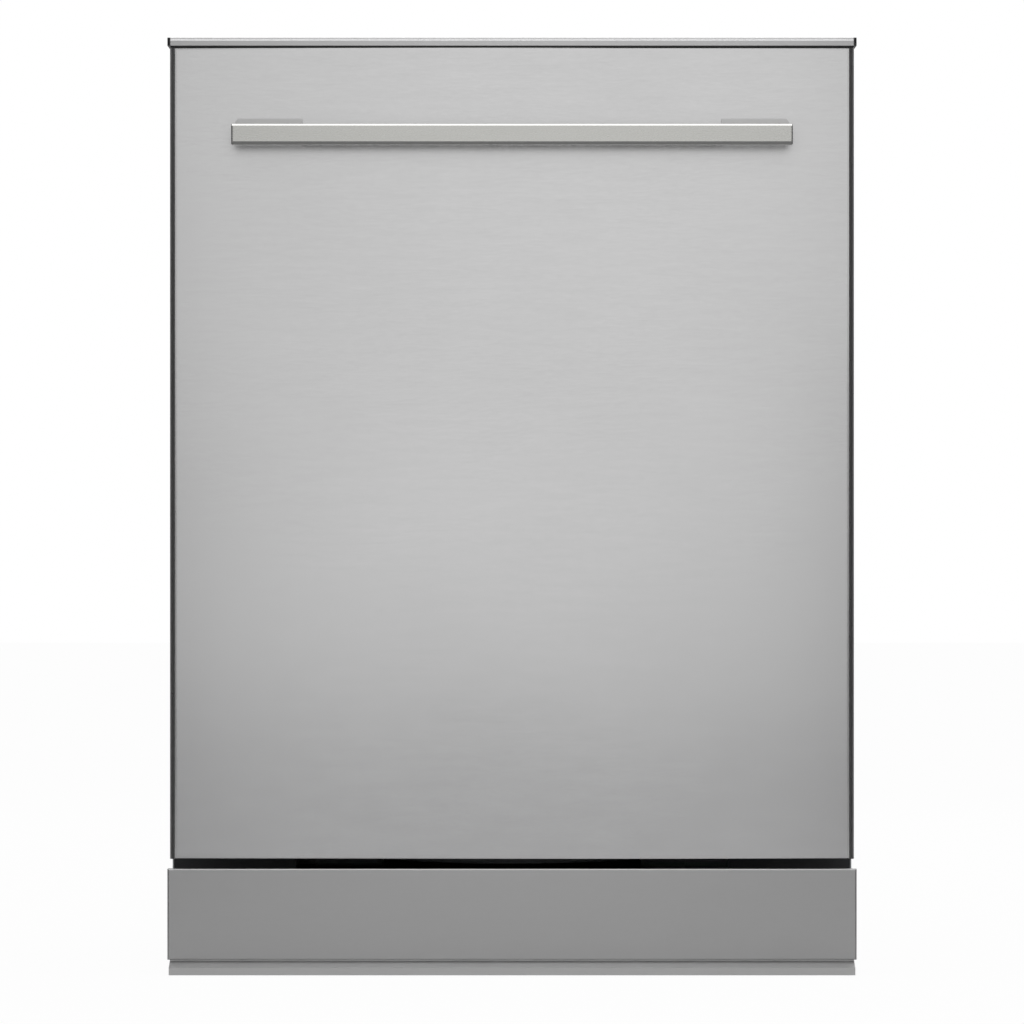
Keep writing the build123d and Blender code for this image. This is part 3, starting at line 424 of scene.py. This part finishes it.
def handle():
    """The bar: its section, with a narrow bevel above and a broader one below, carried between inset ends."""
    low, high = limits("handle_bar")
    front, back, bottom, top = low[1], high[1], low[2], high[2]
    corners = [(0, front, bottom + 2.6), (0, front, top - 1.7), (0, front + 1.3, top), (0, back, top),
               (0, back, bottom), (0, front + 2.0, bottom)]
    section = eased(corners, 0.3, closed=True, steps=4)
    middle = section.mean(0)
    inset = np.array([0.93, 1.0, 1.0, 1.0, 1.0, 0.93])[:, None, None]
    x = np.array([low[0], low[0] + 0.5, low[0] + 2, high[0] - 2, high[0] - 0.5, high[0]])
    points = middle + (section - middle)[None] * inset
    points[..., 0] = x[:, None]
    pile = Pile()
    pile.add(points)
    rail = pile.piece("handle_rail", ["handle_bar"], bar_steel)
    # the faces turned down and forward get the darker tone: painted shade under the bar
    recolour(rail, bar_underside_painted_shade, lambda face: face.normal.z < -0.3 and face.normal.y < -0.3)


def seal():
    """The door seal: a twin-ribbed strip carried up, over and down, and a lip along the tub's lower edge."""
    low, high = limits("door_gasket")
    front, depth, width = low[1], 2.7, 12.0
    half, top, bottom = high[0] - width / 2, high[2] - width / 2, 164.4  # it stops above the strips on the sill
    y = front + depth / 2
    path = eased([(-half, y, bottom), (-half, y, top), (half, y, top), (half, y, bottom)], 22)
    t = np.linspace(0, TURN, 28, endpoint=False)
    rib = 0.22
    swell = (1 + rib * np.cos(2 * t) ** 2) / (1 + rib)
    profile = np.stack([width / 2 * np.cos(t), depth / 2 * np.sin(t) * swell], -1)
    pile = Pile()
    pile.add(carried(path, Y, profile))
    sill = 250.0
    for y, z, wide, thick in ((-192.5, 156.2, 5, 8.2), (-187.5, 156.0, 6.5, 7.2)):
        beam(pile, (-sill, y, z), (sill, y, z), Z, wide, thick, 0.8)
    pile.piece("door_seal", ["door_gasket"], rubber)


RACK_HALF, RACK_FRONT, RACK_REAR = 245.0, -178.0, 258.0
RACK_MIDDLE = (RACK_FRONT + RACK_REAR) / 2


def wire_basket(pile, low, high, count_x, count_y):
    """Bent wires both ways, each down one side, across the floor and up the other, inside two hoops."""
    inset = 4.5  # the hoops lie outside the wires
    edge_x, edge_y = RACK_HALF - inset, (RACK_FRONT + inset, RACK_REAR - inset)
    for y in np.linspace(*edge_y, count_y):
        corners = [(-edge_x, y, high - 2), (-edge_x, y, low + 2), (edge_x, y, low + 2), (edge_x, y, high - 2)]
        tube(pile, eased(corners, 12), 1.9, Y)
    for x in np.linspace(-edge_x, edge_x, count_x):
        corners = [(x, edge_y[0], high - 2), (x, edge_y[0], low + 2.3), (x, edge_y[1], low + 2.3),
                   (x, edge_y[1], high - 2)]
        tube(pile, eased(corners, 12), 1.8, X)
    for z, thick in ((low + 42, 1.9), (high - 2.3, 2.3)):
        side, front, rear = RACK_HALF - thick, RACK_FRONT + thick, RACK_REAR - thick
        corners = [(-side, front, z), (side, front, z), (side, rear, z), (-side, rear, z)]
        tube(pile, eased(corners, 16, closed=True), thick, Z, closed=True)


def tine(pile, x, y, low, high):
    """A straight tine with a rounded tip."""
    radius, tall = 1.7, high - low
    outline = [(radius, 0), (radius, tall - radius), (radius * 0.7, tall - radius * 0.3), (radius * 0.25, tall)]
    pin(pile, (x, y, low), Z, outline, WIRE_SIDES)


def racks():
    """Both racks, the cup shelf, the folding tines and the wheels."""
    low, high = limits("upper_rack")
    pile = Pile()
    wire_basket(pile, low[2], high[2], 16, 12)
    shelf_low, shelf_high = limits("cup_shelf")
    hinge = (shelf_low[0] + 3, (shelf_low[2] + shelf_high[2]) / 2)
    for y in (shelf_low[1] + 5, shelf_high[1] - 5):
        ring(pile, (hinge[0], y - 3, hinge[1]), Y, [(3.2, 0), (6, 0), (6, 6), (3.2, 6)], 24)
        beam(pile, (hinge[0] - 9.5, y, hinge[1] - 4), (hinge[0] - 9.5, y, high[2]), Y, 6, 6)
        beam(pile, (hinge[0] - 12, y, hinge[1]), (hinge[0] - 4.5, y, hinge[1]), Y, 8, 6)
    pile.piece("upper_wire_rack", ["upper_rack"], wire_coat)

    pile = Pile()
    rod(pile, (hinge[0], shelf_low[1], hinge[1]), Y, shelf_high[1] - shelf_low[1], 3.0)
    rows = np.linspace(shelf_low[1] + 12, shelf_high[1] - 12, 12)
    far = shelf_high[0] - 1.6
    for first, second in zip(rows[::2], rows[1::2]):
        corners = [(hinge[0], first, hinge[1]), (far, first, hinge[1]), (far, second, hinge[1]),
                   (hinge[0], second, hinge[1])]
        tube(pile, eased(corners, 9), 1.5, Z)
    for x in (hinge[0] + 38, far - 12):
        tube(pile, [(x, rows[0] - 1.5, hinge[1]), (x, rows[-1] + 1.5, hinge[1])], 1.4, Z)
    pile.piece("cup_rest", ["cup_shelf"], wire_coat)

    floor, rim = 212.0, 380.0  # the lower basket's height range
    wheels = {name: limits(name) for name in nodes if name.startswith("rack_wheel")}
    tine_low, tine_high = limits("folding_tines")
    tine_y, tine_z = (tine_low[1] + tine_high[1]) / 2, tine_low[2] + 2.5
    pile = Pile()
    wire_basket(pile, floor, rim, 17, 13)
    for y in (40.0, 205.0):
        tube(pile, [(-RACK_HALF + 4, y, floor + 5.2), (RACK_HALF - 4, y, floor + 5.2)], 1.8, Y)
        for x in np.linspace(35 - RACK_HALF, RACK_HALF - 35, 7):
            tine(pile, x, y, floor + 4, floor + 70)
    for side in (-1, 1):
        x = side * (tine_high[0] + 1.2)
        beam(pile, (x, tine_y, floor + 1), (x, tine_y, tine_z + 5), Y, 4.6, 10)
        beam(pile, (side * 230, tine_y, floor + 2), (side * 243, tine_y, floor + 2), Y, 4, 10)
    for name, (wheel_low, wheel_high) in wheels.items():
        side = np.sign(wheel_low[0])
        y, z = (wheel_low[1] + wheel_high[1]) / 2, (wheel_low[2] + wheel_high[2]) / 2
        inner, outer = RACK_HALF + 0.1, min(abs(wheel_low[0]), abs(wheel_high[0])) - 0.5
        x = side * (inner + outer) / 2
        beam(pile, (x, y, z - 7), (x, y, floor + 44), Y, outer - inner, 16, 0.6)
        rod(pile, (side * (outer - 1), y, z), side * X, abs(wheel_low[0] - wheel_high[0]) + 3, 3.0)
        wheel = Pile()
        tread = [(3.1, 0), (6.4, 0), (7, 0.6), (7, 2.4), (12.6, 2.4), (13.2, 0.5), (15.4, 0), (16.6, 0.6), (17, 1.8),
                 (17, 7.2), (16.6, 8.4), (15.4, 9), (13.2, 8.5), (12.6, 6.6), (7, 6.6), (7, 8.4), (6.4, 9), (3.1, 9)]
        start = (side * (outer + 0.5), y, z)
        ring(wheel, start, side * X, tread, 40)
        for turn in np.arange(6) * TURN / 6:
            spoke = np.array([0, math.cos(turn), math.sin(turn)])
            rise = np.array(start) + side * X * 4.5
            beam(wheel, rise + spoke * 6.5, rise + spoke * 13.2, X, 1.8, 7.4, 0.2)
        wheel.piece(name.replace("rack_wheel", "roller"), [name], grey_plastic)
    pile.piece("lower_wire_rack", ["lower_rack"], wire_coat)

    pile = Pile()
    rod(pile, (tine_low[0], tine_y, tine_z), X, tine_high[0] - tine_low[0], 2.5)
    for x in np.linspace(33 - RACK_HALF, RACK_HALF - 33, 13):
        tine(pile, x, tine_y, tine_z, tine_high[2])
    pile.piece("hinged_tines", ["folding_tines"], wire_coat)


def cutlery():
    """A lattice box: upright slats between rings, with slatted walls between its cells and a plate for a floor."""
    low, high = limits("cutlery_basket")
    pile = Pile()
    centre = (low + high) / 2
    floor_z, floor_deep = low[2] + 1, high[1] - low[1] - 1
    beam(pile, (low[0] + 0.5, centre[1], floor_z), (high[0] - 0.5, centre[1], floor_z), Y, 2, floor_deep)
    for z, tall in ((low[2] + 4, 8.0), (low[2] + 44, 3.0), (low[2] + 82, 3.0), (high[2] - 3, 6.0)):
        side, front, rear = high[0] - 1, low[1] + 1, high[1] - 1
        corners = [(low[0] + 1, front, z), (side, front, z), (side, rear, z), (low[0] + 1, rear, z)]
        pile.add(carried(eased(corners, 6, closed=True), Z, rounded_outline(2.0, tall, 0.6, 3), True), wrap_rows=True)
    slats = [(x, y, 2.6, 1.6) for x in np.linspace(low[0] + 7, high[0] - 7, 22) for y in (low[1] + 1, high[1] - 1)]
    slats += [(x, y, 1.6, 2.6) for y in np.linspace(low[1] + 8, high[1] - 8, 7)
              for x in np.linspace(low[0] + 1, high[0] - 1, 6)]
    for x, y, wide, deep in slats:
        beam(pile, (x, y, low[2] + 1), (x, y, high[2] - 1), Y, wide, deep, 0.2)
    for x in np.linspace(low[0] + 1, high[0] - 1, 6)[1:-1]:
        for z in (low[2] + 44, high[2] - 3):
            beam(pile, (x, low[1] + 1, z), (x, high[1] - 1, z), Z, 1.8, 5, 0.2)
    pile.piece("cutlery_box", ["cutlery_basket"], grey_plastic)


def arm(name, node, sides_out, width, bore):
    """A spray arm: two lofted blades, flat ellipses narrowing to round ends, a turned hub and raised jets."""
    low, high = limits(node)
    z, thick = low[2], high[2] - low[2]
    centre = np.array([0, 48.0, z])
    turn = math.radians(24.0)  # where the arm stands at rest
    along = np.array([math.cos(turn), math.sin(turn), 0])
    aside = np.cross(Z, along)
    pile = Pile()
    tip = sides_out - width / 2
    t = np.linspace(0, TURN, 24, endpoint=False)
    rise = thick - 0.9
    for way in (-1, 1):
        s = np.concatenate([np.linspace(bore + 2, tip, 14), tip + width / 2 * np.sin(np.linspace(0.2, 1.5, 9))])
        rounding = np.sqrt(np.clip(1 - (np.clip(s - tip, 0, None) / (width / 2)) ** 2, 0.02, 1))
        wide = width / 2 * rounding * (1 - 0.12 * (s / sides_out) ** 2)
        tall = rise / 2 * (0.35 + 0.65 * rounding) * (1 - 0.2 * s / sides_out)
        flat = np.sign(np.cos(t)) * np.abs(np.cos(t)) ** 0.75, np.sign(np.sin(t)) * np.abs(np.sin(t)) ** 0.75
        points = (centre + way * s[:, None, None] * along + wide[:, None, None] * flat[0][None, :, None] * aside
                  + (rise / 2 + tall[:, None, None] * flat[1][None, :, None]) * Z)
        pile.add(points)
        for place in np.linspace(0.28, 0.93, 6):
            offset = (0.22 if place > 0.5 else -0.2) * width * way
            top = rise / 2 + np.interp(place * sides_out, s, tall)
            jet = centre + way * place * sides_out * along + offset * aside + (top - 1.6) * Z
            ring(pile, jet, Z, [(1.6, 0), (4.2, 0), (3.6, 2.3), (2.8, 2.5), (1.6, 2.0)], 16)
    hub = width * 0.72
    ring(pile, centre, Z, [(bore + 0.05, 0), (hub - 2, 0), (hub, 1.5), (hub, thick * 0.55), (hub - 5, thick * 0.8),
                           (bore + 5, thick), (bore + 0.05, thick)])
    pile.piece(name, [node], grey_plastic)


def legs():
    """Levelling legs: a threaded stem of closely stepped rings, a six-sided nut and a round foot."""
    for name in [n for n in nodes if n.startswith("leg_")]:
        low, high = limits(name)
        centre = ((low[0] + high[0]) / 2, (low[1] + high[1]) / 2, 0)
        pile = Pile()
        pin(pile, centre, Z, [(16.5, 0), (18, 1.5), (18, 4.5), (16.8, 6), (11, 7), (9, 7.2)], 40)
        pin(pile, centre, Z, [(9.2, 6.9), (10, 7.6), (10, 11.4), (9.2, 12)], 6)
        steps = np.arange(14, 68, 1.5)
        thread = [(5.0, 12)] + [step for z in steps for step in ((5.0, z), (4.3, z + 0.75))] + [(5, 68.6), (4.2, 70)]
        pin(pile, centre, Z, thread, 20)
        pile.piece(name.replace("leg", "foot"), [name], base_plastic)


def springs():
    """Counterbalance springs: wire wound as radius * (cos, sin) while moving along, with straight hooks."""
    low, high = limits("door_springs")
    radius, thick, turns = 7.0, 1.0, 23
    pile = Pile()
    for side in (-1, 1):
        x, z, start, length = side * (high[0] - 8), (low[2] + high[2]) / 2, -119.0, 148.0
        t = np.linspace(0, turns * TURN, turns * 14)
        out = np.stack([np.cos(t), 0 * t, np.sin(t)], -1)
        middle = np.array([x, start, z]) + radius * out + (t / t[-1] * length)[:, None] * Y
        angle = np.linspace(0, TURN, 6, endpoint=False)
        pile.add(middle[:, None] + thick * (np.cos(angle)[None, :, None] * out[:, None]
                                            + np.sin(angle)[None, :, None] * Y))
        for y in (start - 1, start + length - 1):
            rod(pile, (x, y, z), Y, 2, 7.4)
        rod(pile, (x, start - 51, z), Y, 51, 1.5, 0.3, 10)
        rod(pile, (x, start + length, z), Y, high[1] - start - length, 1.4, 0.3, 10)
    pile.piece("balance_springs", ["door_springs"], plated)


def water_ways():
    """The feed duct up the rear wall and along the ceiling, and the upper arm's feed tube."""
    low, high = limits("water_feed_duct")
    pile = Pile()
    back, up = high[1] - 6.5, high[2] - 6.2
    path = eased([(0, back, low[2]), (0, back, up), (0, low[1] + 0.3, up)], 26, steps=10)
    pile.add(carried(path, X, rounded_outline(12, 39.6, 4.5, 5)))
    for z in np.linspace(low[2] + 60, high[2] - 90, 5):
        beam(pile, (-20, high[1] - 7.6, z), (20, high[1] - 7.6, z), Z, 15, 3)
    ceiling_outlet, upper_outlet = (0, 48, high[2] - 28), (0, 262.8, 416.0)
    pin(pile, ceiling_outlet, Z, [(14, 0), (14, 2), (10, 2), (10, 27.6)], 36)
    pin(pile, upper_outlet, Y, [(14, 0), (14, 3), (13, 8), (13, 14)], 36)
    pile.piece("feed_duct", ["water_feed_duct"], grey_plastic)


def soften(node, width):
    """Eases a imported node's edges: its faces are joined, then every crease is bevelled."""
    thing = nodes[node]
    weld = thing.modifiers.new("joined", "WELD")
    weld.merge_threshold = 0.00001
    bevel = thing.modifiers.new("eased", "BEVEL")
    bevel.width, bevel.segments, bevel.limit_method = width * MM, 2, "ANGLE"
    bevel.angle_limit, bevel.harden_normals = SHARP, False


door_skin()
handle()
seal()
racks()
cutlery()
arm("lower_spray_blade", "lower_spray_arm", 216, 38, 12)
arm("upper_spray_blade", "upper_spray_arm", 205, 32, 9)
arm("ceiling_spray_blade", "ceiling_spray_arm", 90, 26, 10)
legs()
springs()
water_ways()
for node, width in (("control_cap", 0.15), ("handle_brackets", 0.3), ("control_panel", 0.2), ("toe_kick_panel", 0.3)):
    soften(node, width)


# ---- studio ---------------------------------------------------------------------------------
def sheet_of(name, centre, across, up, wide, tall):
    """A flat rectangle that belongs to the studio."""
    across, up, centre = np.asarray(across, float), np.asarray(up, float), np.asarray(centre, float)
    corners = [centre + i * across * wide / 2 + j * up * tall / 2 for i, j in ((-1, -1), (1, -1), (1, 1), (-1, 1))]
    mesh = bpy.data.meshes.new(name)
    mesh.from_pydata([c.tolist() for c in corners], [], [(0, 1, 2, 3)])
    thing = bpy.data.objects.new(name, mesh)
    bpy.context.collection.objects.link(thing)
    return thing


def studio_material(name, colour, glow):
    """Plain paint; seen straight on by the camera it is lit up to paper white."""
    made = bpy.data.materials.new(name)
    made.use_nodes = True
    tree = made.node_tree
    paint = tree.nodes["Principled BSDF"]
    paint.inputs["Base Color"].default_value = (*colour, 1)
    paint.inputs["Roughness"].default_value = 0.9
    if glow:
        white = put(tree, "ShaderNodeEmission", None, Color=(1, 1, 1, 1), Strength=1.0)
        seen = put(tree, "ShaderNodeLightPath").outputs["Is Camera Ray"]
        share = sums(tree, "MULTIPLY", seen, glow)
        mix = put(tree, "ShaderNodeMixShader", None, _0=share, _1=paint.outputs[0], _2=white.outputs[0])
        tree.links.new(mix.outputs[0], tree.nodes["Material Output"].inputs["Surface"])
    return made


def studio():
    """White surroundings, a pale floor, soft panels in front and dark flags beside the machine."""
    scene = bpy.context.scene
    scene.view_settings.view_transform = "Standard"
    world = bpy.data.worlds.new("studio")
    scene.world = world
    world.use_nodes = True
    tree = world.node_tree
    place = put(tree, "ShaderNodeTexCoord").outputs["Generated"]
    height = put(tree, "ShaderNodeSeparateXYZ", None, _0=place).outputs[2]
    level = put(tree, "ShaderNodeMapRange", None, Value=height, _1=-0.7, _2=0.8, _3=0.17, _4=0.60).outputs[0]
    seen = put(tree, "ShaderNodeLightPath").outputs["Is Camera Ray"]
    white = put(tree, "ShaderNodeMix", {"data_type": "FLOAT"}, _0=seen, _2=level, _3=1.0).outputs[0]
    tree.links.new(white, tree.nodes["Background"].inputs["Strength"])
    tree.nodes["Background"].inputs["Color"].default_value = (1, 1, 1, 1)
    floor = sheet_of("floor", (0, 0, -0.001), X, Y, 30, 30)
    floor.data.materials.append(studio_material("pale floor", (0.72, 0.72, 0.72), 0.97))
    flags = (("flag", -0.62, 0.50, 1.05, 1.4, 0.07), ("low flag", -1.55, 0.10, 0.8, 0.9, 0.01))
    for side in (-1, 1):
        hand = "left" if side < 0 else "right"
        for name, y, z, deep, tall, grey in flags:
            flag = sheet_of(f"{name} {hand}", (side * 0.46, y, z), Y, Z, deep, tall)
            flag.data.materials.append(studio_material(f"{name} cloth", (grey, grey, grey), 0))
            flag.visible_camera = flag.visible_diffuse = flag.visible_shadow = False
    panels = (("front panel", (0.20, -1.9, 1.0), (0.10, -0.26, 0.70), 1.4, 1.7, 4.3, (1.0, 0.995, 0.985)),
              ("top panel", (0.0, -0.9, 2.6), (0.0, -0.1, 0.5), 1.8, 1.4, 14.0, (1.0, 1.0, 1.0)),
              ("low left panel", (-1.3, -2.2, 0.25), (0.0, -0.26, 0.3), 0.9, 0.7, 0.8, (0.80, 0.86, 1.0)),
              ("rear panel", (0.9, 2.6, 1.7), (0.0, 0.2, 0.4), 1.8, 1.4, 16.0, (1.0, 1.0, 1.0)))
    for name, place, target, wide, tall, power, colour in panels:
        lamp = bpy.data.lights.new(name, "AREA")
        lamp.shape, lamp.size, lamp.size_y, lamp.energy, lamp.color = "RECTANGLE", wide, tall, power, colour
        thing = bpy.data.objects.new(name, lamp)
        thing.location = place
        thing.rotation_euler = (Vector(target) - Vector(place)).to_track_quat("-Z", "Y").to_euler()
        thing.visible_camera = False
        bpy.context.collection.objects.link(thing)


def camera():
    """A long lens, level, straight in front of the door."""
    distance, framed, level = 6.0, 0.8914, 0.4021  # to the door's face, width taken in there, height, in metres
    door_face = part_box("door_outer_panel")[0][1]
    lens = bpy.data.cameras.new("camera")
    lens.sensor_width = 36.0
    lens.lens = 36.0 * distance / framed
    lens.clip_end = 100.0
    thing = bpy.data.objects.new("camera", lens)
    thing.location = (0, door_face - distance, level)
    thing.rotation_euler = (math.pi / 2, 0, 0)
    bpy.context.collection.objects.link(thing)
    bpy.context.scene.camera = thing


studio()
camera()
